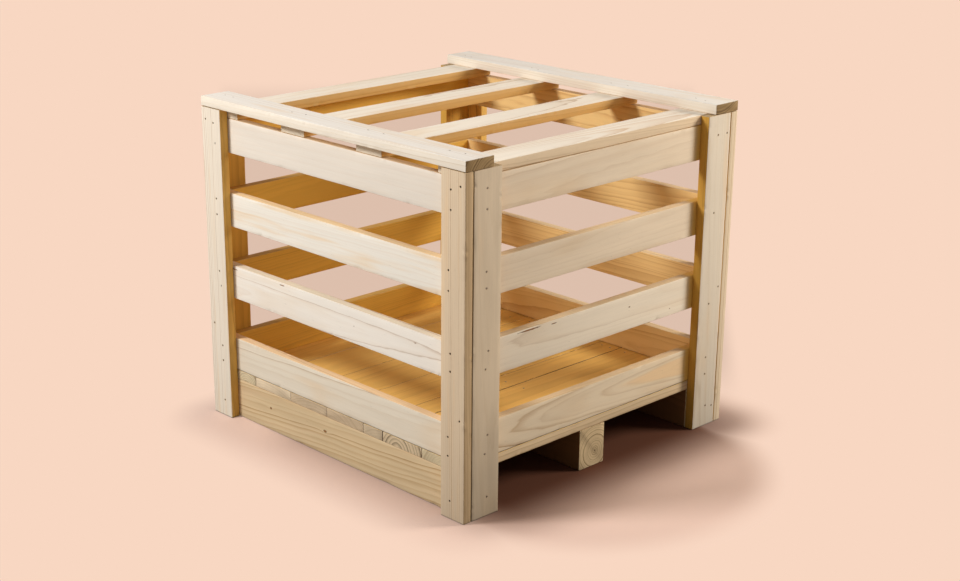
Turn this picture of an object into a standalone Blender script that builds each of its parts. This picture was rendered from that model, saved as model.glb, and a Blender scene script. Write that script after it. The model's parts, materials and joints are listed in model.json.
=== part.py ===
# Slatted pine transport crate: three skids under a board deck, four open sides nailed inside
# eight corner boards, and a slatted lid that drops in between the tops of the corner boards.
# Metres. X runs along the skids, Y across them and Z up; the origin is on the ground, at the
# middle of the footprint. The front is the -Y side and the fork entries are at both X ends.

import math

import bmesh
import bpy

# Outside of the crate over its corner boards, and the height of the walls that carry the lid
crate_length = 0.816
crate_width = 0.800
wall_height = 0.683

# Sawn sections
board_thickness = 0.021
face_board_width = 0.065
side_board_width = 0.074
slat_width = 0.075
lid_board_width = 0.075
lid_rail_width = 0.073
skid_width = 0.076
skid_height = 0.090
board_arris = 0.0015
skid_arris = 0.0030
arris_steps = 2

# Deck boards as they were picked off the pile, from the left end
deck_board_widths = (0.109, 0.123, 0.122, 0.118, 0.060, 0.118, 0.1216)

# Middle skid, wall slats and lid boards as nailed, a little off the even spacing
middle_skid_offset = -0.006
slat_offsets = (0.0, 0.003, 0.0015, 0.0)
lid_board_offsets = (0.0, -0.0075, -0.0025, 0.0)

# Air left between nailed faces, around the lifting lid, and between its rails and the posts
contact_gap = 0.0003
lid_clearance = 0.0015
rail_clearance = 0.0015

# Pine as sawn: colour and roughness of each group of boards
pine_colours = {
    "skid_pine": (0.64, 0.50, 0.31),
    "deck_pine": (0.60, 0.42, 0.21),
    "post_pine": (0.72, 0.60, 0.42),
    "slat_pine": (0.76, 0.65, 0.47),
    "lid_pine": (0.82, 0.73, 0.56),
}
pine_roughness = 0.72

# Inside faces of the corner boards, which everything else stands between
inner_half_length = crate_length / 2 - board_thickness
inner_half_width = crate_width / 2 - board_thickness

# The skids, deck and slats, just clear of those faces
base_half_length = inner_half_length - contact_gap
base_half_width = inner_half_width - contact_gap

# Levels from the ground up
deck_level = skid_height + contact_gap
wall_foot = deck_level + board_thickness + contact_gap
lid_level = wall_height + contact_gap
rail_level = lid_level + board_thickness + contact_gap
post_height = rail_level - rail_clearance

# A board is drawn with its length on X, its width on Y and its thickness on Z, then turned
quarter = math.pi / 2
lying_along_x = (0.0, 0.0, 0.0)
lying_along_y = (0.0, 0.0, quarter)
on_edge_along_x = (quarter, 0.0, 0.0)
on_edge_along_y = (quarter, 0.0, quarter)
upright_facing_y = (0.0, -quarter, -quarter)
upright_facing_x = (0.0, -quarter, 0.0)


def clear_scene():
    for old in list(bpy.data.objects):
        bpy.data.objects.remove(old, do_unlink=True)


def make_pine(name):
    pine = bpy.data.materials.new(name)
    pine.use_nodes = True
    shader = pine.node_tree.nodes["Principled BSDF"]
    shader.inputs["Base Color"].default_value = (*pine_colours[name], 1.0)
    shader.inputs["Roughness"].default_value = pine_roughness
    shader.inputs["Metallic"].default_value = 0.0
    return pine


def section_outline(width, thickness, arris):
    # Rectangle whose four corners are rounded over by the planer
    points = []
    corners = ((1, 1), (-1, 1), (-1, -1), (1, -1))
    for turn, (side, face) in enumerate(corners):
        centre_y = side * (width / 2 - arris)
        centre_z = face * (thickness / 2 - arris)
        for step in range(arris_steps + 1):
            angle = quarter * (turn + step / arris_steps)
            points.append((centre_y + arris * math.cos(angle), centre_z + arris * math.sin(angle)))
    return points


def add_board(name, pine, length, width, thickness, location, rotation, parent=None, arris=board_arris):
    # The rounded section is drawn at one end and extruded to the other, as a board is planed
    shape = bmesh.new()
    ring = [shape.verts.new((-length / 2, y, z)) for y, z in section_outline(width, thickness, arris)]
    end = shape.faces.new(ring)
    grown = bmesh.ops.extrude_face_region(shape, geom=[end])
    moved = [part for part in grown["geom"] if isinstance(part, bmesh.types.BMVert)]
    bmesh.ops.translate(shape, verts=moved, vec=(length, 0.0, 0.0))
    bmesh.ops.recalc_face_normals(shape, faces=shape.faces)
    mesh = bpy.data.meshes.new(name)
    shape.to_mesh(mesh)
    shape.free()
    mesh.materials.append(pine)
    board = bpy.data.objects.new(name, mesh)
    bpy.context.scene.collection.objects.link(board)
    board.rotation_euler = rotation
    board.location = location
    board.parent = parent
    return board


def add_skids(pine):
    # Three bearers; the outer two stand against the front and rear corner boards
    outer_y = base_half_width - skid_width / 2
    places = {"front": -outer_y, "middle": middle_skid_offset, "rear": outer_y}
    for place, y in places.items():
        add_board(f"skid_{place}", pine, 2 * base_half_length, skid_width, skid_height,
                  (0.0, y, skid_height / 2), lying_along_x, arris=skid_arris)


def deck_strips():
    # Left edge and width of each deck board; all are ripped or widened alike until they fill the deck
    joints = contact_gap * (len(deck_board_widths) - 1)
    spare = 2 * base_half_length - joints - sum(deck_board_widths)
    left = -base_half_length
    for nominal in deck_board_widths:
        width = nominal + spare / len(deck_board_widths)
        yield left, width
        left += width + contact_gap


def add_deck(pine):
    for number, (left, width) in enumerate(deck_strips(), start=1):
        add_board(f"deck_board_{number}", pine, 2 * base_half_width, width, board_thickness,
                  (left + width / 2, 0.0, deck_level + board_thickness / 2), lying_along_y)


def nailed_places(first, last, offsets):
    # Even spacing from the first place to the last, with the offsets the boards were nailed at
    step = (last - first) / (len(offsets) - 1)
    return [first + step * number + offset for number, offset in enumerate(offsets)]


def add_slats(pine):
    # From the deck to the top of the wall; front and rear slats are long, and the others fit between them
    long_y = base_half_width - board_thickness / 2
    short_x = base_half_length - board_thickness / 2
    short_half = base_half_width - board_thickness - contact_gap
    lowest = wall_foot + slat_width / 2
    highest = wall_height - slat_width / 2
    for number, level in enumerate(nailed_places(lowest, highest, slat_offsets), start=1):
        for place, side in (("front", -1), ("rear", 1)):
            add_board(f"{place}_slat_{number}", pine, 2 * base_half_length, slat_width, board_thickness,
                      (0.0, side * long_y, level), on_edge_along_x)
        for place, side in (("left", -1), ("right", 1)):
            add_board(f"{place}_slat_{number}", pine, 2 * short_half, slat_width, board_thickness,
                      (side * short_x, 0.0, level), on_edge_along_y)


def add_corner_boards(pine):
    # At each corner a face board laps over the edge of a side board, and both reach the ground
    face_x = crate_length / 2 - face_board_width / 2
    face_y = crate_width / 2 - board_thickness / 2
    side_x = crate_length / 2 - board_thickness / 2
    side_y = inner_half_width - contact_gap - side_board_width / 2
    for end, along in (("left", -1), ("right", 1)):
        for place, across in (("front", -1), ("rear", 1)):
            add_board(f"{place}_{end}_face_board", pine, post_height, face_board_width, board_thickness,
                      (along * face_x, across * face_y, post_height / 2), upright_facing_y)
            add_board(f"{place}_{end}_side_board", pine, post_height, side_board_width, board_thickness,
                      (along * side_x, across * side_y, post_height / 2), upright_facing_x)


def add_lid(pine):
    # Cross boards rest on the walls between the post tops; the rails nailed over them clear the posts
    lift = bpy.data.objects.new("lid_lift", None)
    bpy.context.scene.collection.objects.link(lift)
    lift.location = (0.0, 0.0, lid_level)
    board_length = 2 * (inner_half_width - lid_clearance)
    outer_x = inner_half_length - lid_clearance - lid_board_width / 2
    for number, x in enumerate(nailed_places(-outer_x, outer_x, lid_board_offsets), start=1):
        add_board(f"lid_board_{number}", pine, board_length, lid_board_width, board_thickness,
                  (x, 0.0, board_thickness / 2), lying_along_y, parent=lift)
    rail_y = crate_width / 2 - lid_rail_width / 2
    rail_z = rail_level - lid_level + board_thickness / 2
    for place, side in (("front", -1), ("rear", 1)):
        add_board(f"lid_rail_{place}", pine, crate_length, lid_rail_width, board_thickness,
                  (0.0, side * rail_y, rail_z), lying_along_x, parent=lift)


clear_scene()
add_skids(make_pine("skid_pine"))
add_deck(make_pine("deck_pine"))
add_corner_boards(make_pine("post_pine"))
add_slats(make_pine("slat_pine"))
add_lid(make_pine("lid_pine"))
bpy.context.view_layer.update()
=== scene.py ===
import json
import math
import random

import bmesh
import bpy
from mathutils import Matrix, Vector, noise


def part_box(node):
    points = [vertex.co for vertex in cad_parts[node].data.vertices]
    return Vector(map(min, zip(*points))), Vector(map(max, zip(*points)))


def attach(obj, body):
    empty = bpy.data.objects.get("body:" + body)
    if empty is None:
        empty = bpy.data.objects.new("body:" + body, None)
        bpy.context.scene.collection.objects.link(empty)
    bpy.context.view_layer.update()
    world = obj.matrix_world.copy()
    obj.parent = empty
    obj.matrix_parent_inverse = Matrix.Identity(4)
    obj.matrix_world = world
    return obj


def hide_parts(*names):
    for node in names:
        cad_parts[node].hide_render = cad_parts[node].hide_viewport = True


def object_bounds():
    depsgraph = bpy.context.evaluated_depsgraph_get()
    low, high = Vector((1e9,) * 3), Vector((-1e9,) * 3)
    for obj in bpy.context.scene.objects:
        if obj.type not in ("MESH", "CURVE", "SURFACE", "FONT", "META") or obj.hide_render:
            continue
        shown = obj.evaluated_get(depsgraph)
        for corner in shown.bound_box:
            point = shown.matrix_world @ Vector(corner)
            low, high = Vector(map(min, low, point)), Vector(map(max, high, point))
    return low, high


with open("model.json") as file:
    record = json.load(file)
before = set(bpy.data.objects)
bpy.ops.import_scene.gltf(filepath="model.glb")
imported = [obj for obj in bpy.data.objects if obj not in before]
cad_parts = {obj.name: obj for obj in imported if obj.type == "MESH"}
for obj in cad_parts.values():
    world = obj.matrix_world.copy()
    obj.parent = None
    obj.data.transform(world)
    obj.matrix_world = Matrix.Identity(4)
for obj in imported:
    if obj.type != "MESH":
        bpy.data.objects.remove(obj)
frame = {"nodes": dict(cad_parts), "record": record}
cadBox = [list(corner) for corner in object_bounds()]
nodeNames = sorted(frame["nodes"])
print("frame loaded:", len(nodeNames), "boards")


# Small tools

def linear(hexColour):
    # sRGB hex to the linear colour that Blender's sockets take
    parts = [int(hexColour[i:i + 2], 16) / 255 for i in (1, 3, 5)]
    return tuple(c / 12.92 if c <= 0.04045 else ((c + 0.055) / 1.055) ** 2.4 for c in parts) + (1.0,)


def connect(tree, node, inputs):
    # An input is a plain value, another node (its first output) or an output socket
    for name, value in inputs.items():
        if isinstance(value, bpy.types.Node):
            value = value.outputs[0]
        if isinstance(value, bpy.types.NodeSocket):
            tree.links.new(value, node.inputs[name])
        else:
            node.inputs[name].default_value = value


def addNode(tree, kind, inputs, **settings):
    node = tree.nodes.new("ShaderNode" + kind)
    for name, value in settings.items():
        setattr(node, name, value)
    connect(tree, node, inputs)
    return node


def calc(tree, operation, *values):
    return addNode(tree, "Math", dict(enumerate(values)), operation=operation)


def times(tree, first, second):
    return calc(tree, "MULTIPLY", first, second)


def calcVector(tree, operation, *values):
    node = addNode(tree, "VectorMath", dict(enumerate(values)), operation=operation)
    return node.outputs["Value"] if operation in ("LENGTH", "DOT_PRODUCT") else node


def scaled(tree, vector, factor):
    return addNode(tree, "VectorMath", {0: vector, 3: factor}, operation="SCALE")


def ramp(tree, value, *span, curve="LINEAR"):
    # span is the range that comes in and the range it becomes, 0 to 1 unless given
    ends = zip(("From Min", "From Max", "To Min", "To Max"), span)
    return addNode(tree, "MapRange", {"Value": value, **dict(ends)}, interpolation_type=curve)


def ease(tree, value, *span):
    return ramp(tree, value, *span, curve="SMOOTHSTEP")


def blend(tree, share, first, second):
    return addNode(tree, "MixRGB", {"Fac": share, "Color1": first, "Color2": second})


def cloud(tree, point, seed, detail, roughness=0.5):
    return addNode(tree, "TexNoise", {"Vector": point, "W": seed, "Scale": 1.0, "Detail": detail,
                                      "Roughness": roughness}, noise_dimensions="4D")


def grainCloud(tree, point, seed, sizeMm, detail, roughness=0.5):
    # Noise with its own size along the grain and across it
    along, across = sizeMm
    point = calcVector(tree, "MULTIPLY", point, (1 / along, 1 / across, 1 / across))
    return cloud(tree, point, seed, detail, roughness)


def newGroup(name, vectors, numbers, gives):
    # Empty node group with vector inputs, number inputs and number outputs
    tree = bpy.data.node_groups.new(name, "ShaderNodeTree")
    for sockets, kind, way in ((vectors, "Vector", "INPUT"), (numbers, "Float", "INPUT"),
                               (gives, "Float", "OUTPUT")):
        for socket in sockets:
            tree.interface.new_socket(socket, in_out=way, socket_type="NodeSocket" + kind)
    return tree, tree.nodes.new("NodeGroupInput").outputs, tree.nodes.new("NodeGroupOutput")


def newMaterial(name):
    material = bpy.data.materials.new(name)
    material.use_nodes = True
    return material, material.node_tree


def placeAimed(thing, at, direction):
    # Cameras and lamps look along their own -Z
    bpy.context.scene.collection.objects.link(thing)
    thing.location = at
    thing.rotation_mode = "QUATERNION"
    thing.rotation_quaternion = direction.to_track_quat("-Z", "Y")


def meshObject(name, shape, material, smoothDegrees):
    # Closes a bmesh into an object with smooth faces and sharp edges over the given angle
    bmesh.ops.recalc_face_normals(shape, faces=shape.faces)
    mesh = bpy.data.meshes.new(name)
    shape.to_mesh(mesh)
    shape.free()
    mesh.polygons.foreach_set("use_smooth", [True] * len(mesh.polygons))
    mesh.set_sharp_from_angle(angle=math.radians(smoothDegrees))
    mesh.materials.append(material)
    made = bpy.data.objects.new(name, mesh)
    bpy.context.scene.collection.objects.link(made)
    return made


# Pine, sawn and planed: annual rings run through the whole board, so faces, edges and ends agree.
# Pale spring wood with tan autumn lines; the outer skin is cream, and faces turned inward are golden, which
# is painted shade.

pineFinish = {
    "early": "#F4EBDD",      # spring wood on a planed outer face
    "late": "#D6B088",       # autumn wood line
    "blush": "#EBCDA6",      # growth bands with more resin
    "heart": "#E2BE8E",      # wood near the pith
    "streak": "#8E6638",     # the few autumn lines that are nearly brown
    "edgeEarly": "#DCC39E",  # narrow edges, ripped and not planed, hold more dirt
    "edgeLate": "#A98050",
    "shadeGoldEarly": "#E9C078",  # spring wood on an inner face, where its golden colour is painted shade
    "shadeGoldLate": "#B98234",
    "endEarly": "#C4AA82",   # end grain drinks dirt and looks darker
    "endLate": "#6A4A26",
    "knot": "#9A6A3A",
    "knotRim": "#4A2C14",
    "ringMm": 6.0,           # plantation pine grows 4 to 10 mm a year
    "fibreMm": 1.6,          # drawn coarser than real fibres, which are under 0.1 mm
    "contrast": 0.40,
    "shadeGoldContrast": 0.45,
    "edgeContrast": 0.55,
    "endContrast": 0.80,
    "blushDepth": 0.45,
    "streakDepth": 0.35,
    "heartDepth": 0.35,
    "heartMm": 20.0,
    "pithMm": 2.2,
    "toneDepth": 0.035,
    "fibreDepth": 0.035,
    "canalDepth": 0.20,
    "sawMarks": 0.15,
    "roughness": 0.60,
    "specular": 0.2,         # open, unfinished wood shines far less than a varnished board
    "bumpMm": 0.12,
    "wander": 8.0,
    "footShade": (0.0, 0.0),  # painted shade: how much darker the board's -X end is, and how many mm up it reaches
    "footContactShadow": (0.0, 0.0),  # the same for the painted contact shadow, a thin dark line just above the floor
    "jointShadow": (0.0, 0.0, -1),   # painted shadow in a joint: how dark it is, how many mm it reaches, and its edge
    "postShade": (0.0, 0.0, 0.0),  # painted shade beside a post: mm of the +X end behind the post, mm the shade reaches, depth
    "postShadeTint": "#EABA50",      # golden tint of the painted shade in the corner beside a post
    "knots": (),
    "trim": (0.0, 0.0, 0.0),
}


figureDesign = {
    "bendMm": (300, 60),            # length and width of the log's slow bends
    "rippleMm": (55, 9),            # small ripple along the fibres, so that no ring line is ruled straight
    "rippleDepthMm": 0.9,
    "unevenYears": (0.55, 1.5),     # good and poor years: how fast they change, and by how many rings
    "faintYears": (1.6, 0.28),      # most autumn lines are faint, the faintest this faint
    "strongYears": (0.80, 0.92),    # the few dice throws that give a nearly brown line
    "strongLine": (0.55, 0.95),
    "oneYear": ((0.0, 0.10), (0.12, 0.0), (0.45, 0.10), (0.78, 0.62), (0.92, 1.0), (1.0, 0.15)),
    "fibreLengthMm": 70,
    "canalMm": (13, 1.3),
    "canalShare": (0.68, 0.80),
    "toneMm": (210, 34),
    "bandCycles": (1 / 260, 0.42),  # bands of richer wood: cycles per mm along the board and per ring
    "bandShare": (0.50, 0.72),
}


def buildFigure():
    # One log: the distance from its pith gives the rings; wander and lean give the cathedrals
    tree, given, out = newGroup("pineFigure", ("Point", "Pith", "Lean"),
                                ("Ring", "Wander", "Bulge", "Fibre", "Seed"),
                                ("Late", "Strong", "Fibres", "Tone", "Band", "Radius", "Canals"))
    design = figureDesign
    point, seed = given["Point"], given["Seed"]
    along = addNode(tree, "SeparateXYZ", {0: point}).outputs["X"]

    bend = grainCloud(tree, point, seed, design["bendMm"], 2.0, 0.45).outputs["Color"]
    bend = scaled(tree, calcVector(tree, "SUBTRACT", bend, (0.5, 0.5, 0.5)), given["Wander"])
    off = calcVector(tree, "SUBTRACT", point, given["Pith"])
    off = calcVector(tree, "SUBTRACT", off, scaled(tree, given["Lean"], along))
    off = calcVector(tree, "ADD", off, bend)
    off = calcVector(tree, "MULTIPLY", off, (0.0, 1.0, 1.0))
    radius = calc(tree, "ADD", calcVector(tree, "LENGTH", off), given["Bulge"])
    ripple = grainCloud(tree, point, seed, design["rippleMm"], 2.0)
    ripple = ramp(tree, ripple, 0.2, 0.8, -design["rippleDepthMm"], design["rippleDepthMm"])
    years = calc(tree, "DIVIDE", calc(tree, "ADD", radius, ripple), given["Ring"])

    pace, swing = design["unevenYears"]
    turn = calc(tree, "ADD", times(tree, years, pace), seed)
    uneven = addNode(tree, "TexNoise", {"W": turn, "Scale": 1.0, "Detail": 1.0}, noise_dimensions="1D")
    uneven = calc(tree, "MULTIPLY_ADD", uneven, swing, years)
    year = calc(tree, "ADD", calc(tree, "FLOOR", uneven), seed)
    dice = addNode(tree, "TexWhiteNoise", {"W": year}, noise_dimensions="1D")
    power, faintest = design["faintYears"]
    depth = ramp(tree, calc(tree, "POWER", dice, power), 0.0, 1.0, faintest, 1.0)
    wave = addNode(tree, "ValToRGB", {0: calc(tree, "FRACT", uneven)})
    stops = wave.color_ramp.elements
    while len(stops) < len(design["oneYear"]):
        stops.new(0.5)
    for stop, (place, grey) in zip(stops, design["oneYear"]):
        stop.position = place
        stop.color = (grey, grey, grey, 1.0)
    rare = ramp(tree, dice, *design["strongYears"])
    line = ease(tree, wave, *design["strongLine"])

    # Fibres and resin canals, drawn out along the grain
    across = calc(tree, "DIVIDE", 1.0, given["Fibre"])
    stretch = addNode(tree, "CombineXYZ", {0: 1 / design["fibreLengthMm"], 1: across, 2: across})
    canals = grainCloud(tree, point, seed, design["canalMm"], 1.0)

    # Bands of richer wood follow the rings
    perMm, perRing = design["bandCycles"]
    bandPoint = addNode(tree, "CombineXYZ", {0: times(tree, along, perMm), 1: times(tree, years, perRing)})
    connect(tree, out, {"Late": times(tree, wave, depth),
                        "Strong": times(tree, rare, line),
                        "Fibres": cloud(tree, calcVector(tree, "MULTIPLY", point, stretch), seed, 3.0, 0.6),
                        "Tone": grainCloud(tree, point, seed, design["toneMm"], 3.0),
                        "Band": ease(tree, cloud(tree, bandPoint, seed, 2.0), *design["bandShare"]),
                        "Radius": radius,
                        "Canals": ease(tree, canals, *design["canalShare"])})
    return tree


knotDesign = {
    "shake": (0.14, 0.62, 1.38),       # how fast the outline wavers, per mm, and between which sizes
    "core": (0.80, 1.05),              # all in knot radii
    "rimOutside": (0.95, 1.35),
    "rimInside": (0.55, 1.0),
    "flow": (0.28, 0.85, 1.0),         # the grain flows round the knot, further along the board than across
    "flowFade": -0.45,
}


def buildKnot():
    # A branch, or with a low squeeze a bark or resin mark: dark rim, core, and grain that flows round it
    tree, given, out = newGroup("pineKnot", ("Point", "Centre"),
                                ("Slant", "Radius", "Squeeze", "Pull", "Bulge In", "Core In", "Rim In"),
                                ("Bulge", "Core", "Rim"))
    design = knotDesign
    off = calcVector(tree, "SUBTRACT", given["Point"], given["Centre"])
    split = addNode(tree, "SeparateXYZ", {0: off}).outputs
    along = calc(tree, "SUBTRACT", split["X"], times(tree, split["Z"], given["Slant"]))
    flat = addNode(tree, "CombineXYZ", {0: times(tree, along, given["Squeeze"]), 1: split["Y"]})
    pace, *sizes = design["shake"]
    shake = addNode(tree, "TexNoise", {"Vector": given["Point"], "Scale": pace, "Detail": 2.0})
    shake = ramp(tree, shake, 0.0, 1.0, *sizes)
    far = times(tree, calcVector(tree, "LENGTH", flat), shake)
    far = calc(tree, "DIVIDE", far, given["Radius"])
    core = ease(tree, far, *design["core"], 1.0, 0.0)
    rim = times(tree, ease(tree, far, *design["rimOutside"], 1.0, 0.0),
                ease(tree, far, *design["rimInside"]))
    pull = addNode(tree, "CombineXYZ", {0: along, 1: split["Y"]})
    pull = calcVector(tree, "LENGTH", calcVector(tree, "MULTIPLY", pull, design["flow"]))
    pull = calc(tree, "DIVIDE", pull, given["Radius"])
    pull = times(tree, pull, pull)
    pull = calc(tree, "EXPONENT", times(tree, pull, design["flowFade"]))
    size = times(tree, given["Radius"], given["Pull"])
    connect(tree, out, {"Bulge": calc(tree, "MULTIPLY_ADD", pull, size, given["Bulge In"]),
                        "Core": calc(tree, "MAXIMUM", core, given["Core In"]),
                        "Rim": calc(tree, "MAXIMUM", rim, given["Rim In"])})
    return tree


figureTree = buildFigure()
knotTree = buildKnot()

surfaceDesign = {
    "noiseMiddle": (0.25, 0.75),   # noise hardly leaves this range
    "shadeGoldFrom": (0.25, 0.95),      # how squarely a face looks inward before it takes its full golden painted shade
    "endFrom": (0.55, 0.85),
    "edgeFrom": (0.60, 0.90),
    "heartFadeMm": 2.5,
    "pithFadeMm": 0.8,
    "pithDepth": 0.85,
    "rimDepth": 0.75,
    "crumbs": (0.35, 0.6),         # the fibres break up the edge of the painted shadow in a joint
    "crumbReach": (0.7, 1.3),
    "roughnessSpread": (-0.07, 0.09),
    "endRoughness": 0.18,
    "sawMm": (2.6, 60),
    "ringHeight": 0.5,
    "bumpStrength": 0.8,
}


def pineMaterial(name, finish):
    design = surfaceDesign
    colour = {key: linear(value) for key, value in finish.items() if str(value).startswith("#")}
    material, tree = newMaterial(name)
    place = addNode(tree, "TexCoord", {}).outputs
    normal = place["Normal"]
    point = scaled(tree, place["Object"], 1000.0)
    split = addNode(tree, "SeparateXYZ", {0: point}).outputs

    bulge, core, rim = 0.0, 0.0, 0.0
    for along, across, radius, slant, squeeze, pull in finish["knots"]:
        centre = (along, across, finish["thicknessMm"] / 2)
        knot = addNode(tree, "Group", {"Point": point, "Centre": centre, "Slant": slant, "Radius": radius,
                                       "Squeeze": squeeze, "Pull": pull, "Bulge In": bulge, "Core In": core,
                                       "Rim In": rim}, node_tree=knotTree)
        bulge, core, rim = knot.outputs
    figure = addNode(tree, "Group", {"Point": point, "Pith": (0.0, *finish["pith"]),
                                     "Lean": (0.0, *finish["lean"]), "Ring": finish["ringMm"],
                                     "Wander": finish["wander"], "Fibre": finish["fibreMm"],
                                     "Seed": finish["seed"], "Bulge": bulge}, node_tree=figureTree)
    late, strong, fibres, tone, band, radius, canals = figure.outputs

    def share(amount, depth):
        return times(tree, amount, finish[depth])

    # Which way the surface faces: planed outer face, ripped edge, inner face with golden painted shade, or
    # end grain
    ahead = calcVector(tree, "MAXIMUM", normal, (0.0, 0.0, 0.0))
    behind = calcVector(tree, "MINIMUM", normal, (0.0, 0.0, 0.0))
    gold = calc(tree, "ADD", calcVector(tree, "DOT_PRODUCT", ahead, finish["goldAhead"]),
                calcVector(tree, "DOT_PRODUCT", behind, [-v for v in finish["goldBehind"]]))
    gold = ramp(tree, gold, *design["shadeGoldFrom"])
    facing = addNode(tree, "SeparateXYZ", {0: calcVector(tree, "ABSOLUTE", normal)}).outputs
    isEnd = ease(tree, facing["X"], *design["endFrom"])
    isEdge = ease(tree, facing["Y"], *design["edgeFrom"])

    cream = blend(tree, share(band, "blushDepth"), colour["early"], colour["blush"])
    cream = blend(tree, share(late, "contrast"), cream, colour["late"])
    edge = blend(tree, share(late, "edgeContrast"), colour["edgeEarly"], colour["edgeLate"])
    cream = blend(tree, isEdge, cream, edge)
    heart, fade = finish["heartMm"], design["heartFadeMm"]
    cream = blend(tree, ease(tree, radius, heart - fade, heart + fade, finish["heartDepth"], 0.0), cream,
                  colour["heart"])
    cream = blend(tree, share(strong, "streakDepth"), cream, colour["streak"])
    shadedGolden = blend(tree, share(late, "shadeGoldContrast"), colour["shadeGoldEarly"], colour["shadeGoldLate"])
    face = blend(tree, gold, cream, shadedGolden)
    endWood = blend(tree, share(late, "endContrast"), colour["endEarly"], colour["endLate"])
    pith, fade = finish["pithMm"], design["pithFadeMm"]
    endWood = blend(tree, ramp(tree, radius, pith - fade, pith + fade, design["pithDepth"], 0.0), endWood,
                    colour["knotRim"])
    wood = blend(tree, isEnd, face, endWood)
    wood = blend(tree, core, wood, colour["knot"])
    wood = blend(tree, times(tree, rim, design["rimDepth"]), wood, colour["knotRim"])

    # Tone, fibres, canals and the painted shade at the end and in joints only lighten and darken what is
    # there
    middle = design["noiseMiddle"]
    shade = ramp(tree, tone, *middle, 1.0 - finish["toneDepth"], 1.0 + finish["toneDepth"])
    thread = ramp(tree, fibres, *middle, 1.0 - finish["fibreDepth"], 1.0 + finish["fibreDepth"])
    pores = ramp(tree, canals, 0.0, 1.0, 1.0, 1.0 - finish["canalDepth"])
    shade = times(tree, shade, thread)
    shade = times(tree, shade, pores)
    # Painted shade: darker towards the board's -X end, with a thin painted contact shadow right at that end
    foot = -finish["lengthMm"] / 2
    for paintedShade, reach in (finish["footShade"], finish["footContactShadow"]):
        if paintedShade:
            shade = times(tree, shade, ease(tree, split["X"], foot, foot + reach, 1.0 - paintedShade, 1.0))
    # Painted shadow along one edge, where a joint meets the next board
    paintedShade, reach, side = finish["jointShadow"]
    if paintedShade:
        joint = -finish["widthMm"] / 2
        near, far = design["crumbReach"]
        crumbs = ramp(tree, fibres, *design["crumbs"], joint + reach * near, joint + reach * far)
        up = times(tree, split["Y"], -side)
        shade = times(tree, shade, ease(tree, up, joint, crumbs, 1.0 - paintedShade, 1.0))
    # Painted shade, tinted golden, on the board's +X end beside a post
    covered, reach, depth = finish["postShade"]
    if depth:
        post = finish["lengthMm"] / 2 - covered
        wood = blend(tree, ease(tree, split["X"], post - reach, post, 0.0, depth), wood, colour["postShadeTint"])

    rough = ramp(tree, fibres, *middle, *(finish["roughness"] + by for by in design["roughnessSpread"]))
    # Autumn wood stands a little proud of the planed face, and the saw leaves its marks where nobody planed
    height = calc(tree, "MULTIPLY_ADD", late, design["ringHeight"], fibres)
    saw = grainCloud(tree, point, finish["seed"], design["sawMm"], 1.0)
    height = calc(tree, "MULTIPLY_ADD", saw, finish["sawMarks"], height)
    connect(tree, tree.nodes["Principled BSDF"], {
        "Base Color": scaled(tree, wood, shade),
        "Specular IOR Level": finish["specular"],
        "Roughness": calc(tree, "MULTIPLY_ADD", isEnd, design["endRoughness"], rough),
        "Normal": addNode(tree, "Bump", {"Height": height, "Distance": finish["bumpMm"] / 1000,
                                         "Strength": design["bumpStrength"]})})
    return material


# How each board lies: its grain runs along local X and its outer face looks along local +Z

xAxis, yAxis, zAxis = Vector((1, 0, 0)), Vector((0, 1, 0)), Vector((0, 0, 1))


def boardKind(node):
    words = node.split("_")
    for word in ("skid", "deck", "slat", "rail", "lid", "face"):
        if word in words:
            return "lidBoard" if word == "lid" else word
    return "side"


def boardAxes(node):
    # (grain, outward) in the crate's own directions
    kind = boardKind(node)
    outward = {"front": -yAxis, "rear": yAxis, "left": -xAxis, "right": xAxis}
    words = node.split("_")
    if kind in ("deck", "lidBoard"):
        return yAxis, zAxis
    if kind == "rail":
        return xAxis, zAxis
    if kind == "skid":
        return (-xAxis, yAxis) if "rear" in words else (xAxis, -yAxis)
    if kind in ("face", "side"):
        return zAxis, outward[words[0 if kind == "face" else 1]]
    return zAxis.cross(outward[words[0]]), outward[words[0]]


# Looks of the boards by kind; the four gold numbers give how much golden painted shade the outer face, the
# inner face, and the edges that look to the crate's middle and away from it take; trim is how much air shows
# in the joints, in mm

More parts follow.
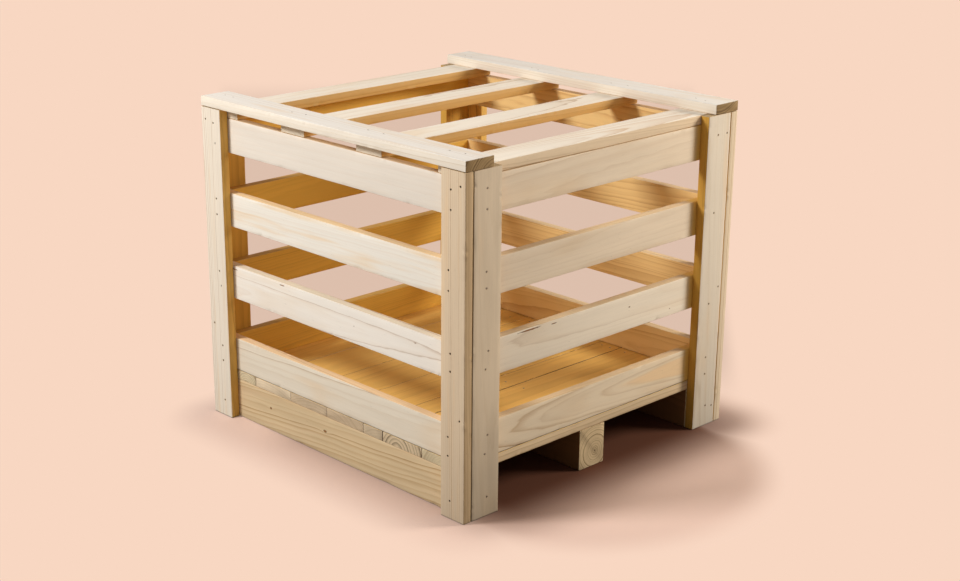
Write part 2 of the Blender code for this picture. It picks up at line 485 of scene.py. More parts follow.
kindLooks = {
    # The skids' inner faces and some edges are painted dark brown as shade
    "skid": {"ringMm": 8.0, "contrast": 0.75, "wander": 16.0, "toneDepth": 0.08, "fibreDepth": 0.05,
             "canalDepth": 0.22, "sawMarks": 1.1, "early": "#DFC59C", "late": "#B0824C", "streakDepth": 0.45,
             "endEarly": "#CBB48B", "endLate": "#8A6638", "shadeGoldEarly": "#7E5836", "shadeGoldLate": "#4E321A",
             "gold": (0.0, 1.0, 0.5, 0.2), "trim": (0.3, 0.3, 0.0)},
    "deck": {"ringMm": 6.5, "wander": 10.0, "toneDepth": 0.10, "fibreDepth": 0.05, "canalDepth": 0.15,
             "sawMarks": 0.9, "shadeGoldEarly": "#EEC06A", "shadeGoldLate": "#AE7826", "shadeGoldContrast": 0.26,
             "edgeEarly": "#6E4A26", "edgeLate": "#4A2E14", "endEarly": "#D8C0A0", "endLate": "#8C6C48",
             "endContrast": 0.4, "gold": (1.0, 1.0, 0.0, 0.0), "trim": (0.6, 0.6, 0.0)},
    "slat": {"ringMm": 6.5, "contrast": 0.32, "gold": (0.0, 1.0, 0.0, 0.0)},
    "face": {"ringMm": 5.0, "contrast": 0.42, "wander": 5.0, "early": "#EADAC2", "late": "#C2A174",
             "edgeEarly": "#D6B990", "edgeLate": "#8A6238", "edgeContrast": 0.8, "streakDepth": 0.3,
             "shadeGoldEarly": "#F0C064", "shadeGoldLate": "#96601F", "shadeGoldContrast": 0.75, "footContactShadow": (0.6, 3.0),
             "gold": (0.0, 1.0, 0.9, 0.0), "trim": (0.0, 0.0, 1.1)},
    "side": {"ringMm": 5.5, "contrast": 0.30, "wander": 5.0, "early": "#E3D4BC", "late": "#C0A57C",
             "shadeGoldEarly": "#D4A246", "shadeGoldLate": "#96641E", "footContactShadow": (0.6, 3.0),
             "gold": (0.0, 1.0, 1.0, 0.3), "trim": (0.0, 1.3, 0.0)},
    # The lid boards' ends are painted near white: painted light against the shade under the rail
    "lidBoard": {"ringMm": 6.7, "contrast": 0.45, "early": "#F9EEDC", "late": "#CDA672",
                 "edgeEarly": "#E2CBA8", "edgeLate": "#B8966A", "endEarly": "#FFEFD6", "endLate": "#9A6C3E",
                 "endContrast": 0.22, "shadeGoldEarly": "#DDB06A", "gold": (0.0, 1.0, 0.9, 0.0),
                 "trim": (0.0, 0.0, 0.9)},
    "rail": {"contrast": 0.20, "wander": 6.0, "early": "#F2ECE2", "edgeEarly": "#F4E8D6",
             "edgeLate": "#D6BA90", "edgeContrast": 0.3, "streakDepth": 0.12, "endContrast": 0.9,
             "endEarly": "#A98C62", "endLate": "#3E2810", "gold": (0.0, 0.8, 0.0, 0.0)},
}

# What the photograph shows on single boards, in mm from the board's middle: X along the grain, Y across it
# (up on a slat), Z outward; a knot is (x, y, radius, slant, squeeze, pull), a low squeeze makes it a dash

rightSlatWood = {"early": "#EFDCC2", "late": "#C4A27A", "blush": "#E3C6A0", "edgeEarly": "#DFC49C",
                 "edgeLate": "#A67C4C", "toneDepth": 0.07, "postShade": (55.0, 26.0, 0.92)}
boardLooks = {
    "front_slat_4": {"early": "#ECE1D2", "contrast": 0.10, "blushDepth": 0.12, "streakDepth": 0.0,
                     "pith": (60, -90)},
    "front_slat_3": {"early": "#F7EFE1", "contrast": 0.22, "blushDepth": 0.8, "blush": "#F3D9B6",
                     "pith": (-70, -46), "lean": (0.03, 0.0), "edgeEarly": "#F2D3A4"},
    "front_slat_2": {"early": "#FAF1E4", "contrast": 0.24, "blushDepth": 0.3, "pith": (-8, -34),
                     "lean": (0.03, -0.02), "edgeEarly": "#F0E2C8", "streakDepth": 0.4,
                     "knots": ((-340, 30, 1.1, 0, 0.12, 0.3), (-172, 32, 1.0, 0, 0.15, 0.3),
                               (62, 0, 1.0, 0, 0.8, 1.0), (247, 12, 1.1, 0, 0.8, 1.0))},
    "rear_slat_1": {"trim": (1.5, 0.0, 0.0)},
    # front_slat_1's top edge is painted lighter: painted light in the shade under the slat above
    "front_slat_1": {"contrast": 0.42, "blushDepth": 0.7, "early": "#EEE1CC", "late": "#C4A274",
                     "edgeEarly": "#F6D3A6", "edgeLate": "#D2A070", "pith": (-20, -60), "lean": (0.05, 0.0),
                     "streakDepth": 0.3, "jointShadow": (0.8, 3.0, -1)},
    "right_slat_4": {**rightSlatWood, "contrast": 0.26, "pith": (-34, -130), "lean": (0.02, 0.01),
                     "wander": 6.0},
    "right_slat_3": {**rightSlatWood, "contrast": 0.32, "pith": (46, -60), "footShade": (0.06, 500.0)},
    "right_slat_2": {**rightSlatWood, "contrast": 0.28, "early": "#FAECD6", "footShade": (0.12, 640.0),
                     "blushDepth": 0.2, "toneDepth": 0.04, "pith": (20, -52), "lean": (0.02, 0.02),
                     "knots": ((-203, 33, 1.5, 0, 0.06, 0.4), (-132, 30, 1.0, 0, 0.14, 0.4),
                               (98, 12, 1.3, 0, 0.5, 1.0), (231, -22, 1.2, 0, 0.8, 1.0))},
    "right_slat_1": {**rightSlatWood, "contrast": 0.65, "early": "#EEDBBE", "late": "#B48C5A",
                     "heart": "#F4D0A0", "heartDepth": 0.75, "heartMm": 25.0, "ringMm": 8.0,
                     "pith": (6, -21), "lean": (-0.01, 0.065), "wander": 22.0, "streakDepth": 0.5,
                     "jointShadow": (0.8, 3.0, -1)},
    "lid_board_4": {"contrast": 0.8, "blushDepth": 0.6, "late": "#C2915A", "edgeEarly": "#EBD3B2",
                    "toneDepth": 0.06, "pith": (-17, -34), "lean": (0.0, -0.04), "wander": 6.0},
    "lid_board_3": {"contrast": 0.35, "pith": (10, -80)},
    "skid_front": {"pith": (-84, 26), "lean": (0.07, 0.03), "ringMm": 12.0, "wander": 22.0, "contrast": 0.85,
                   "knots": ((-226, 8, 2.2, 0.1, 0.7, 2.2), (-39, 10, 2.6, 0.1, 0.6, 2.6))},
    "skid_middle": {"pith": (-12, -10), "lean": (0.0, 0.0), "ringMm": 5.0, "wander": 3.0, "endContrast": 0.9,
                    "endEarly": "#E0C69C", "endLate": "#6E4E22", "gold": (1.0, 1.0, 0.5, 0.2)},
    "front_right_face_board": {"contrast": 0.55, "early": "#E6CFB0", "late": "#CCA076", "pith": (-56, -14),
                               "lean": (0.01, 0.0), "streakDepth": 0.7, "wander": 4.0, "blushDepth": 0.75,
                               "toneDepth": 0.06, "footShade": (0.16, 420.0)},
    "front_left_face_board": {"contrast": 0.32, "early": "#F2E5D2", "late": "#BE9668", "pith": (80, -30)},
    "rear_right_face_board": {"edgeEarly": "#EAD6B8", "edgeLate": "#BC986C"},
    "front_right_side_board": {"contrast": 0.25, "early": "#E6D2B6", "toneDepth": 0.10, "pith": (-20, -95),
                               "footShade": (0.28, 380.0), "jointShadow": (0.75, 3.2, 1)},
    "rear_right_side_board": {"contrast": 0.26, "early": "#E7DAC6", "toneDepth": 0.06, "pith": (30, -70),
                              "footShade": (0.12, 420.0)},
    "deck_board_1": {"endEarly": "#DDCAA6", "endLate": "#7A5830", "endContrast": 0.7, "pith": (-14, -13),
                     "ringMm": 6.0, "trim": (1.2, 0.0, 0.0), "edgeEarly": "#E0C6A0", "edgeLate": "#9A7444"},
    "deck_board_2": {"endEarly": "#E2CCAC", "endContrast": 0.2, "pith": (24, -190), "trim": (0.2, 0.2, 0.0)},
    "deck_board_3": {"endEarly": "#D0B898", "endContrast": 0.35, "pith": (-30, -160),
                     "trim": (0.2, 0.2, 0.0)},
    "deck_board_4": {"endEarly": "#CCB494", "endContrast": 0.35, "pith": (60, -110), "trim": (0.2, 0.2, 0.0)},
    "deck_board_5": {"endEarly": "#D2BC9C", "endContrast": 0.3, "pith": (-40, -120), "trim": (0.7, 1.7, 0.0)},
    "deck_board_6": {"endEarly": "#DCC4A0", "endLate": "#40280E", "endContrast": 1.0, "ringMm": 9.0,
                     "pith": (8, -24), "trim": (1.7, 1.0, 0.0)},
    "deck_board_7": {"endEarly": "#D8C6A2", "edgeEarly": "#E0C6A0", "edgeLate": "#9A7444",
                     "edgeContrast": 0.7, "pith": (-20, -40)},
}
# Painted shade on the inner faces of the slats: deeper gold on the left wall, which stays in shade, lighter
# gold on the lit rear wall
leftSlatShadeGold = {"shadeGoldEarly": "#E8B852", "shadeGoldLate": "#97641C", "shadeGoldContrast": 0.4, "edgeEarly": "#C89C50",
                "edgeLate": "#97641C"}
rearSlatShadeGold = {"shadeGoldEarly": "#F4D08E", "shadeGoldLate": "#B07430", "shadeGoldContrast": 0.6, "edgeEarly": "#E6CBA0"}

logDesign = {
    "pithAside": (5, 60),     # mm from the board's middle to where the pith lay: beside it or under it,
    "pithBelow": (30, 110),   # seldom inside
    "lean": (0.02, 0.03),
    "seeds": (1, 400),
    "middleLine": 0.2,        # boards nearer than this to the crate's middle have its inside on both edges
}


def boardLook(node, centre, across, length, width, thickness, rng):
    kind, words = boardKind(node), node.split("_")
    look = {**pineFinish, **kindLooks[kind]}
    design = logDesign
    look["pith"] = (rng.choice((-1, 1)) * rng.uniform(*design["pithAside"]),
                    -rng.uniform(*design["pithBelow"]) * rng.choice((1, 1, -1)))
    look["lean"] = tuple(rng.uniform(-most, most) for most in design["lean"])
    look["seed"] = rng.uniform(*design["seeds"])
    if kind == "slat" and words[0] in ("left", "rear"):
        look.update(leftSlatShadeGold if words[0] == "left" else rearSlatShadeGold)
    look.update(boardLooks.get(node, {}))
    look["lengthMm"], look["widthMm"], look["thicknessMm"] = length * 1000, width * 1000, thickness * 1000
    outer, inner, toMiddle, fromMiddle = look["gold"]
    offset, middleLine = centre.dot(across), design["middleLine"]
    look["goldAhead"] = (0.0, toMiddle if offset < middleLine else fromMiddle, outer)
    look["goldBehind"] = (0.0, toMiddle if offset > -middleLine else fromMiddle, inner)
    trimMiddle, trimOut, trimBack = look["trim"]
    look["trimMm"] = (trimMiddle if offset < 0 else trimOut, trimMiddle if offset >= 0 else trimOut, trimBack)
    return look


# Nails: 3 mm heads driven a little below the wood, where the real ones show

nailDesign = {
    "headMm": 1.8,        # radius of the head
    "holeMm": 2.6,        # radius of the crushed hole round it
    "holeRings": (("holeMm", 1.0, 0.0), ("holeMm", 0.86, 0.4), ("headMm", 1.02, 1.0)),  # share and mm deep
    "headRings": ((0.55, 0.09), (0.85, 0.04), (1.0, -0.08), (1.0, -0.42)),  # share of the radius and mm high
    "holeSides": 12,
    "holeRagged": (0.12, 900, 0.7),  # how ragged, and how fast that changes from hole to hole and round one
    "headSides": 16,
    "sunkMm": 0.6,        # how far the head sits under the face
    "cellMm": 3.4,        # half side of the patch of board that is cut for the hole
    "oneCell": 2.2,       # nails nearer than this many patches share one
    "clearCell": 1.35,    # no line of the board's grid comes nearer than this many patches
    "slatHeights": (0.170, 0.132, 0.344, 0.307, 0.507, 0.471, 0.668, 0.627),
    "skidHeight": 0.040,
    "faceInset": 0.043,   # from the outer corner, on the face boards
    "sideInset": 0.058,   # from the outer corner, on the side boards
    "lapHeights": (0.676, 0.215),  # nails through the face board into the edge of the side board
    "lapInset": 0.0135,
    "deckRows": (-0.340, -0.010, 0.342),
    "deckReach": 0.27,    # share of the board's width from its middle line
    "drift": {"deck": (0.006, 0.014), "post": 0.003, "lap": 0.004},  # how far off its place a nail goes in
}
nailedAs = {  # boards whose nails were read off the photograph, in mm
    "lid_rail_front": ((-377, -359), (-349, -357), (-142, -360), (-102, -358), (90, -359), (136, -357),
                       (326, -360), (364, -358)),
    "lid_rail_rear": ((-372, 352), (-346, 350), (-150, 353), (-125, 350), (99, 346), (142, 355), (332, 351),
                      (362, 349)),
    "rear_right_side_board": ((341, 662), (370, 659), (337, 491), (371, 320), (339, 287), (338, 163),
                              (341, 124), (347, 50), (366, 44)),
    "deck_board_5": ((104, -338), (128, -341), (119, 7), (103, 344), (129, 340)),
    "deck_board_6": ((176, -342), (240, -337), (171, 8), (238, -12), (174, 341), (238, 345)),
}


def nailPlaces(node, rng):
    # World points of the nails that go through a board's outer face
    kind, words = boardKind(node), node.split("_")
    low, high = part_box(node)
    middle = (low + high) / 2
    design = nailDesign
    if kind in ("rail", "deck") and node in nailedAs:
        return [Vector((x / 1000, y / 1000, high.z)) for x, y in nailedAs[node]]
    if node in nailedAs:
        return [Vector((middle.x, y / 1000, z / 1000)) for y, z in nailedAs[node]]
    if kind == "deck":
        reach = (high.x - low.x) * design["deckReach"]
        driftX, driftY = design["drift"]["deck"]
        return [Vector((middle.x + side * reach + rng.uniform(-driftX, driftX),
                        y + rng.uniform(-driftY, driftY), high.z))
                for y in design["deckRows"] for side in (-1, 1)]
    if kind not in ("face", "side"):
        return []
    side = 1 if "right" in words else -1
    depth = -1 if "front" in words else 1
    cornerX, cornerY = cadBox[1][0], cadBox[1][1]
    places = []
    drift = design["drift"]["post"]
    for z in (*design["slatHeights"], design["skidHeight"]):
        inset = design["faceInset" if kind == "face" else "sideInset"] + rng.uniform(-drift, drift)
        z += rng.uniform(-drift, drift)
        if kind == "face":
            places.append(Vector((side * (cornerX - inset), middle.y, z)))
        else:
            places.append(Vector((middle.x, depth * (cornerY - inset), z)))
    if kind == "face":
        drift = design["drift"]["lap"]
        for z in design["lapHeights"]:
            z += rng.uniform(-drift, drift)
            places.append(Vector((side * (cornerX - design["lapInset"]), middle.y, z)))
    return places


# Boards: the sawn section with worn arrises, small chips and nail holes, run along the grain

boardDesign = {
    "firstSeed": 1700,
    "boardSmooth": 42,    # degrees up to which an edge is shaded smooth
    "nailSmooth": 50,
    "stationMm": 8.0,     # spacing of the cross sections along a board
    "columnMm": 9.0,      # spacing of the lines across a face
    "edgeRowMm": 9.0,     # spacing of the lines down an edge
    "backColumns": 8,
    "arrisMm": {"skid": 2.2, "default": 1.1},
    "arcSteps": 3,
    "endArrisMm": 0.5,    # the crosscut saw leaves the end nearly sharp
    "waveMm": 0.16,       # how uneven planing leaves a face
    "waveCycles": (7, 24),    # per metre along the board and across it
    "edgeWearMm": 0.5,
    "wearCycles": (38, 9.1),  # per metre along an arris, and how far apart the four are
    "chipsPerMetre": 3.0,
    "chipDepthMm": (0.4, 1.6),
    "chipLengthMm": (4.0, 14.0),
    "chipTeeth": (0.25, 1900),
    "joint": (0.55, 0.6, 5.0, 3.3, 0.1),  # mean opening, its swing, cycles per metre, offset, least opening
}


def gridLines(low, high, step, spots, reach):
    # Even lines from low to high that leave one whole cell round each nail
    count = max(1, round((high - low) / step))
    lines = [low + (high - low) * i / count for i in range(count + 1)]
    kept = []
    for spot in sorted(spots):
        if kept and spot - kept[-1] < nailDesign["oneCell"] * reach:
            kept[-1] = (kept[-1] + spot) / 2
        else:
            kept.append(spot)
    for spot in kept:
        lines = [v for v in lines if abs(v - spot) > reach * nailDesign["clearCell"] or v in (low, high)]
        lines += [spot - reach, spot + reach]
    return sorted(lines)


def boardShape(length, width, thickness, kind, nails, trimMm, rng):
    # nails are (along, across) on the outer face, in metres
    design = boardDesign
    arris = design["arrisMm"].get(kind, design["arrisMm"]["default"]) / 1000
    steps = design["arcSteps"]
    reach = nailDesign["cellMm"] / 1000
    endArris = design["endArrisMm"] / 1000
    halfL, halfW, halfT = length / 2, width / 2, thickness / 2
    flatW, flatT = width - 2 * arris, thickness - 2 * arris
    columns = gridLines(-halfW + arris, halfW - arris, design["columnMm"] / 1000,
                        [y for _, y in nails], reach)
    stations = gridLines(-halfL + endArris, halfL - endArris, design["stationMm"] / 1000,
                         [x for x, _ in nails], reach)

    # Section points as (y, z, outward, corner): corner is None on the flats
    edgeSteps, backSteps = max(2, round(flatT / (design["edgeRowMm"] / 1000))), design["backColumns"]
    tall = [halfT - arris - flatT * i / edgeSteps for i in range(edgeSteps + 1)]
    back = [halfW - arris - flatW * i / backSteps for i in range(backSteps + 1)]

    def arc(y, z, number, first):
        centre = (y - math.copysign(arris, y), z - math.copysign(arris, z))
        for i in range(1, steps):
            angle = first - math.pi / 2 * i / steps
            outward = Vector((0, math.cos(angle), math.sin(angle)))
            yield centre[0] + arris * outward.y, centre[1] + arris * outward.z, outward, number

    section = [(y, halfT, zAxis, None) for y in columns]
    section += arc(halfW, halfT, 0, math.pi / 2)
    section += [(halfW, z, yAxis, None) for z in tall]
    section += arc(halfW, -halfT, 1, 0.0)
    section += [(y, -halfT, -zAxis, None) for y in back]
    section += arc(-halfW, -halfT, 2, -math.pi / 2)
    section += [(-halfW, z, -yAxis, None) for z in reversed(tall)]
    section += arc(-halfW, halfT, 3, math.pi)

    chips = []
    for _ in range(4):
        count = round(length * design["chipsPerMetre"] * rng.uniform(0.5, 1.5))
        chips.append([(rng.uniform(-halfL, halfL), rng.uniform(*design["chipLengthMm"]) / 1000,
                       rng.uniform(*design["chipDepthMm"]) / 1000) for _ in range(count)])
    seedPoint = Vector((rng.uniform(0, 50), rng.uniform(0, 50), rng.uniform(0, 50)))
    trimAhead, trimBehind, trimBack = [mm / 1000 for mm in trimMm]
    (waveX, waveYZ), (wearX, wearApart) = design["waveCycles"], design["wearCycles"]
    toothDepth, toothPace = design["chipTeeth"]
    mean, swing, pace, offset, least = design["joint"]

    def surface(x, y, z, outward, corner, inset):
        # Every change goes into the wood, so the board stays inside its own box
        wave = noise.noise(Vector((x * waveX, y * waveYZ, z * waveYZ)) + seedPoint)
        depth = (0.5 + 0.5 * wave) * design["waveMm"] / 1000
        if corner is not None:
            rough = noise.noise(Vector((x * wearX, corner * wearApart, 0)) + seedPoint)
            depth += max(0.0, rough) ** 1.5 * design["edgeWearMm"] / 1000
            for centre, half, deep in chips[corner]:
                away = abs(x - centre) / half
                if away < 1:
                    teeth = 1 - toothDepth + toothDepth * math.sin(x * toothPace)
                    depth += deep * (1 - away * away) * teeth
        spot = Vector((x, y, z)) - outward * depth
        # Joints open and close along the board, as boards are never quite straight
        opening = mean + swing * noise.noise(Vector((x * pace, offset, 0)) + seedPoint)
        opening = min(1.0, max(least, opening))
        if trimAhead and y > halfW * 0.9:
            spot.y -= trimAhead * opening
        if trimBehind and y < -halfW * 0.9:
            spot.y += trimBehind * opening
        if trimBack and z < -halfT + arris * 1.01:
            spot.z += trimBack * opening
        if inset:
            spot.y -= math.copysign(min(inset, abs(spot.y)), spot.y)
            spot.z -= math.copysign(min(inset, abs(spot.z)), spot.z)
        return spot

    shape = bmesh.new()
    rows = []
    for x, inset in [(-halfL, endArris)] + [(x, 0.0) for x in stations] + [(halfL, endArris)]:
        rows.append([shape.verts.new(surface(x, *point, inset)) for point in section])
    holes = set()
    for along, across in nails:
        i = min(range(len(stations) - 1), key=lambda k: abs((stations[k] + stations[k + 1]) / 2 - along))
        j = min(range(len(columns) - 1), key=lambda k: abs((columns[k] + columns[k + 1]) / 2 - across))
        holes.add((i + 1, j))
    for i in range(len(rows) - 1):
        for j in range(len(section)):
            if (i, j) not in holes:
                k = (j + 1) % len(section)
                shape.faces.new((rows[i][j], rows[i][k], rows[i + 1][k], rows[i + 1][j]))
    shape.faces.new(rows[0])
    shape.faces.new(rows[-1])
    heads = [nailHole(shape, (rows[i][j], rows[i + 1][j], rows[i + 1][j + 1], rows[i][j + 1]))
             for i, j in sorted(holes)]
    return shape, heads


def nailHole(shape, cell):
    # Fills one open cell with a ring that steps down into the wood; cell corners run anticlockwise from -X-Y
    centre = sum((corner.co for corner in cell), Vector()) / 4
    rings = []
    sides, (ragged, apart, around) = nailDesign["holeSides"], nailDesign["holeRagged"]
    for size, share, drop in nailDesign["holeRings"]:
        radius = nailDesign[size] * share
        ring = []
        for step in range(sides):
            angle = math.radians(180 + 360 / sides * step)
            uneven = radius * (1 + ragged * noise.noise(centre * apart + Vector((step * around, radius, 0))))
            ring.append(shape.verts.new(centre + Vector((math.cos(angle) * uneven, math.sin(angle) * uneven,
                                                         -drop)) / 1000))
        rings.append(ring)
    for c, corner in enumerate(cell):
        for step in range(3 * c, 3 * c + 3):
            shape.faces.new((corner, rings[0][(step + 1) % sides], rings[0][step]))
        shape.faces.new((corner, cell[(c + 1) % 4], rings[0][(3 * c + 3) % sides]))
    for upper, lower in zip(rings, rings[1:]):
        for step in range(sides):
            following = (step + 1) % sides
            shape.faces.new((upper[step], upper[following], lower[following], lower[step]))
    shape.faces.new(rings[-1])
    return centre


def headShape(heads):
    # Flat round heads with a soft rim, a little askew as the nail gun leaves them
    shape = bmesh.new()
    sides = nailDesign["headSides"]
    turns = [math.tau * step / sides for step in range(sides)]
    for number, centre in enumerate(heads):
        tilt = Matrix.Rotation(math.radians(3 + number % 4), 3, "XYZ"[number % 2])
        sunk = Vector((0, 0, nailDesign["sunkMm"] / 1000))
        rings = []
        for share, lift in nailDesign["headRings"]:
            across = share * nailDesign["headMm"]
            ring = [Vector((math.cos(turn) * across, math.sin(turn) * across, lift)) for turn in turns]
            rings.append([shape.verts.new(centre + tilt @ spot / 1000 - sunk) for spot in ring])
        top = shape.verts.new(centre + Vector((0, 0, 0.0001)) - sunk)
        for step in range(sides):
            following = (step + 1) % sides
            shape.faces.new((top, rings[0][step], rings[0][following]))
            for upper, lower in zip(rings, rings[1:]):
                shape.faces.new((upper[step], lower[step], lower[following], upper[following]))
        shape.faces.new(rings[-1])
    return shape


nailFinish = {
    "bright": ("#8E8A84", "#5C564E", 0.34),    # wiped clean: catches the light as a white dot
    "dull": ("#302820", "#1C150F", 0.60),      # blued by the resin: a dark dot
}


def nailMaterial(name):
    # Drawn steel nail with a stamped head: a small glint, or a dark dot where the resin has dulled it
    light, dark, roughness = nailFinish[name]
    material, tree = newMaterial(name + "DrawnSteel")
    place = addNode(tree, "TexCoord", {}).outputs["Object"]
    spots = addNode(tree, "TexNoise", {"Vector": place, "Scale": 900.0, "Detail": 3.0})
    connect(tree, tree.nodes["Principled BSDF"], {
        "Base Color": blend(tree, spots, linear(light), linear(dark)),
        "Roughness": ramp(tree, spots, 0.0, 1.0, roughness - 0.1, roughness + 0.1),
        "Metallic": 1.0})
    return material


def makeBoards():
    steel = {name: nailMaterial(name) for name in nailFinish}
    body = {node: name for name, nodes in frame["record"]["behaviour"]["bodies"].items() for node in nodes}
    for number, node in enumerate(nodeNames):
        rng = random.Random(boardDesign["firstSeed"] + number)
        kind = boardKind(node)
        low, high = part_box(node)
        grain, outward = boardAxes(node)
        across = outward.cross(grain)
        length, width, thickness = [abs((high - low).dot(axis)) for axis in (grain, across, outward)]
        place = Matrix.Translation((low + high) / 2) @ Matrix((grain, across, outward)).transposed().to_4x4()
        nails = [(spot.x, spot.y) for spot in (place.inverted() @ spot for spot in nailPlaces(node, rng))]
        look = boardLook(node, (low + high) / 2, across, length, width, thickness, rng)
        shape, heads = boardShape(length, width, thickness, kind, nails, look["trimMm"], rng)
        board = meshObject(node + "_sawn", shape, pineMaterial("planedPine_" + node, look),
                           boardDesign["boardSmooth"])
        board.matrix_world = place
        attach(board, body[node])
        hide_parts(node)
        if heads:
            finish = steel["bright" if kind == "side" else "dull"]
            headSet = meshObject("nails_" + node, headShape(heads), finish, boardDesign["nailSmooth"])
            headSet.matrix_world = place
            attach(headSet, body[node])
    print("boards and nails made")


makeBoards()


# Camera: the photograph looks down at the front right corner from about 3.5 m

cameraDesign = {
    "at": (2.541, -2.469, 1.444),
    "back": (0.6898, -0.6426, 0.3336),
    "sensorMm": 36.0,
    "lensMm": 63.16,
    "shift": (0.0494, 0.0466),
    "clip": (0.05, 60.0),
}


def makeCamera():
    data = bpy.data.cameras.new("camera")
    data.sensor_width = cameraDesign["sensorMm"]
    data.lens = cameraDesign["lensMm"]
    data.shift_x, data.shift_y = cameraDesign["shift"]
    data.clip_start, data.clip_end = cameraDesign["clip"]
    camera = bpy.data.objects.new("camera", data)
    placeAimed(camera, cameraDesign["at"], -Vector(cameraDesign["back"]))
    bpy.context.scene.camera = camera


# Studio: a peach paper sweep, a soft key from the front left and a warm soft light from the right rear

studioDesign = {
    "sweep": "#F8D7C2",
    "paperInShade": (0.80, 0.585, 0.490),    # linear; under the lamps it comes out as the sweep colour
    "paperBounce": (0.36, 0.32, 0.28),       # what the paper gives back to the crate
    "lights": {  # place, what it looks at, watts, width in metres, colour
        "key": ((-1.20, -2.80, 2.55), (0.0, 0.0, 0.4), 105.0, 0.95, "#FFFFFF"),
        "rearRight": ((1.95, 2.05, 1.75), (0.2, 0.0, 0.4), 71.0, 1.1, "#FFF7EC"),
    },
    "ambient": ("#F7F5F4", 0.22),
    "shadowCentre": (0.360, -0.020),          # the shadow beside the crate ends in a soft round edge
    "shadowReach": (0.34, 0.44),
    "footprint": (0.375, 0.390),
    "contactCentre": (0.025, 0.0),           # the light from the left keeps the shadow there short
    "contactReach": (0.04, 0.17),
    "contactDepth": 0.85,
    "darkCentre": (0.14, 0.04),              # painted shade on the paper under the deck, away from the light
    "darkest": ((0.24, 0.30), (0.0, 0.22), "#70564A"),   # its half sizes, fade and tint
    "shadeBehind": 0.23,                     # how much darker the painted shade makes the paper behind the crate
    "shadeAxes": ((-0.73, 0.68, 0.0), (0.68, 0.73, 0.0)),    # away from the camera, and across that
    "shadeMiddle": 0.035,                    # where its middle line lies across
    "shadeWiden": -0.12,                     # it widens away from the crate
    "shadeEdge": (0.55, 0.61),               # metres to its soft edge, and where it starts and stops
    "shadeStart": (0.0, 0.45),
    "shadeStop": (3.2, 4.0),
    "floorRadius": 6.0,
    "floorSegments": 96,
    "floorDrop": 0.0006,                     # keeps the paper just clear of the boards that stand on it
}


def makeStudio():
    design = studioDesign
    scene = bpy.context.scene
    scene.view_settings.view_transform = "Standard"
    world = bpy.data.worlds.new("peachSweep")
    scene.world = world
    world.use_nodes = True
    tree = world.node_tree
    tree.nodes.clear()
    rays = addNode(tree, "LightPath", {}).outputs
    seen = calc(tree, "MAXIMUM", rays["Is Camera Ray"], rays["Is Glossy Ray"])
    seen = calc(tree, "MAXIMUM", seen, rays["Is Transmission Ray"])
    colour, strength = design["ambient"]
    glow = addNode(tree, "Background", {"Color": linear(colour), "Strength": strength})
    sweep = addNode(tree, "Background", {"Color": linear(design["sweep"]), "Strength": 1.0})
    addNode(tree, "OutputWorld", {"Surface": addNode(tree, "MixShader", {0: seen, 1: glow, 2: sweep})})

    for name, (at, target, watts, width, tint) in design["lights"].items():
        lamp = bpy.data.lights.new(name, "AREA")
        lamp.shape = "DISK"
        lamp.size = width
        lamp.energy = watts
        lamp.color = linear(tint)[:3]
        light = bpy.data.objects.new(name, lamp)
        light.visible_camera = False
        placeAimed(light, at, Vector(target) - Vector(at))

    shape = bmesh.new()
    bmesh.ops.create_circle(shape, cap_ends=True, cap_tris=False, radius=design["floorRadius"],
                            segments=design["floorSegments"])
    floor = meshObject("paperFloor", shape, paperMaterial(design), 30)
    floor.location = (0, 0, -design["floorDrop"])
    print("studio made")


def outsideBox(tree, place, centre, halfSizes):
    # How far a point of the paper lies outside an upright box
    out = calcVector(tree, "ABSOLUTE", calcVector(tree, "SUBTRACT", place, (*centre, 0.0)))
    out = calcVector(tree, "SUBTRACT", out, (*halfSizes, 9.0))
    return calcVector(tree, "LENGTH", calcVector(tree, "MAXIMUM", out, (0.0, 0.0, 0.0)))


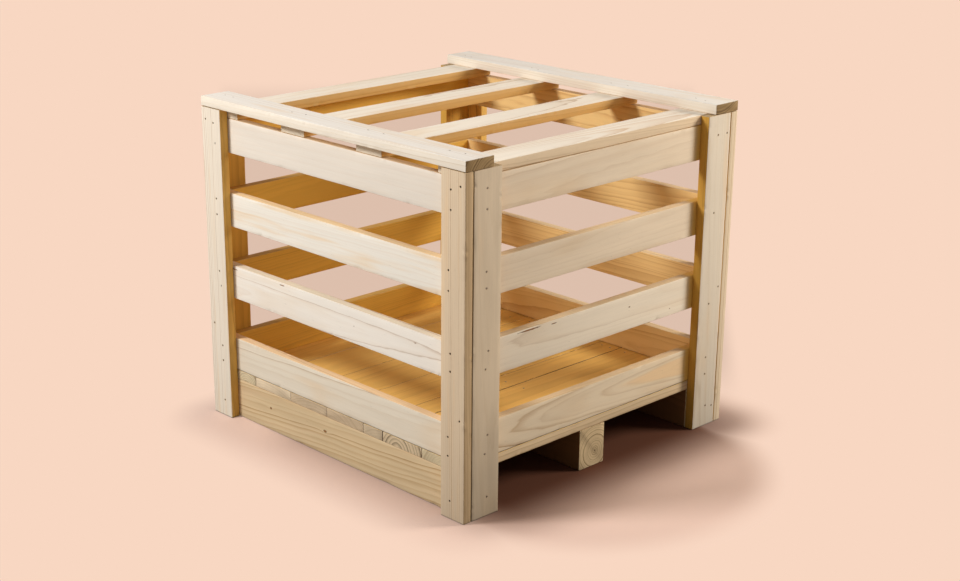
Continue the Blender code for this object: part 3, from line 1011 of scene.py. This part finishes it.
def paperMaterial(design):
    # Matt peach paper: it keeps the crate's shadow near the crate and is the plain sweep further out, with
    # painted shade behind the crate and under the deck
    material, tree = newMaterial("mattPaper")
    tree.nodes.clear()
    place = addNode(tree, "TexCoord", {}).outputs["Object"]

    middle = calcVector(tree, "SUBTRACT", place, (*design["shadowCentre"], 0.0))
    beside = ease(tree, calcVector(tree, "LENGTH", middle), *design["shadowReach"], 1.0, 0.0)
    out = outsideBox(tree, place, design["contactCentre"], design["footprint"])
    under = ease(tree, out, *design["contactReach"], design["contactDepth"], 0.0)

    # A wide soft shade is painted on the paper behind the crate
    along, across = [calcVector(tree, "DOT_PRODUCT", place, axis) for axis in design["shadeAxes"]]
    across = calc(tree, "ABSOLUTE", calc(tree, "SUBTRACT", across, design["shadeMiddle"]))
    wide = calc(tree, "MULTIPLY_ADD", along, design["shadeWiden"], across)
    behind = times(tree, ease(tree, wide, *design["shadeEdge"], 1.0, 0.0),
                   ease(tree, along, *design["shadeStart"]))
    behind = times(tree, behind, ease(tree, along, *design["shadeStop"], 1.0, 0.0))
    dim = calc(tree, "MULTIPLY_ADD", behind, -design["shadeBehind"], 1.0)
    plain = scaled(tree, linear(design["sweep"])[:3], dim)
    plain = addNode(tree, "Emission", {"Color": plain, "Strength": 1.0})

    # Painted shade: the paper under the deck is darker, as hardly any light gets there
    halfSizes, fade, tint = design["darkest"]
    deep = ease(tree, outsideBox(tree, place, design["darkCentre"], halfSizes), *fade)
    deep = blend(tree, deep, linear(tint), (1.0, 1.0, 1.0, 1.0))
    papers = [calcVector(tree, "MULTIPLY", design[name], deep) for name in ("paperInShade", "paperBounce")]
    shaded, bounce = [addNode(tree, "BsdfDiffuse", {"Color": paper}) for paper in papers]
    seen = addNode(tree, "MixShader", {0: calc(tree, "MAXIMUM", beside, under), 1: plain, 2: shaded})
    rays = addNode(tree, "LightPath", {}).outputs
    look = calc(tree, "MAXIMUM", rays["Is Camera Ray"], rays["Is Glossy Ray"])
    addNode(tree, "OutputMaterial", {"Surface": addNode(tree, "MixShader", {0: look, 1: bounce, 2: seen})})
    return material


makeCamera()
makeStudio()
